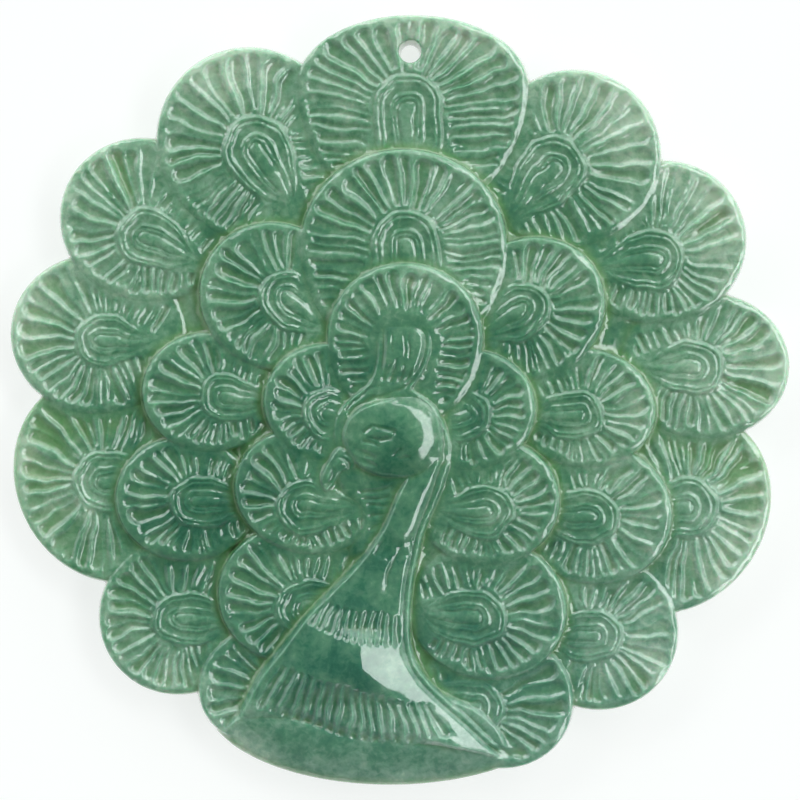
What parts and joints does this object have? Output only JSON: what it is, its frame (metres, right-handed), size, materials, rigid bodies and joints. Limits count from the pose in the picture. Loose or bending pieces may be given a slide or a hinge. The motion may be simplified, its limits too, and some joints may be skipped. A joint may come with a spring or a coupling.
{
  "type": "carved jade peacock pendant",
  "caption": "Flat carved jade pendant in relief: a peacock before its fanned tail of scalloped eye feathers, with a cord hole through the top feather.",
  "frame": {"origin": "centre of the pendant's outline, on its flat back", "axes": "+Z out of the carved face, +Y towards the cord hole, +X to the right as the face is seen"},
  "size_m": [0.062, 0.0614, 0.0066],
  "materials": {
    "jade": "polished translucent green jade"
  },
  "bodies": {
    "root": {"peacock_pendant": "jade"}
  },
  "joints": []
}
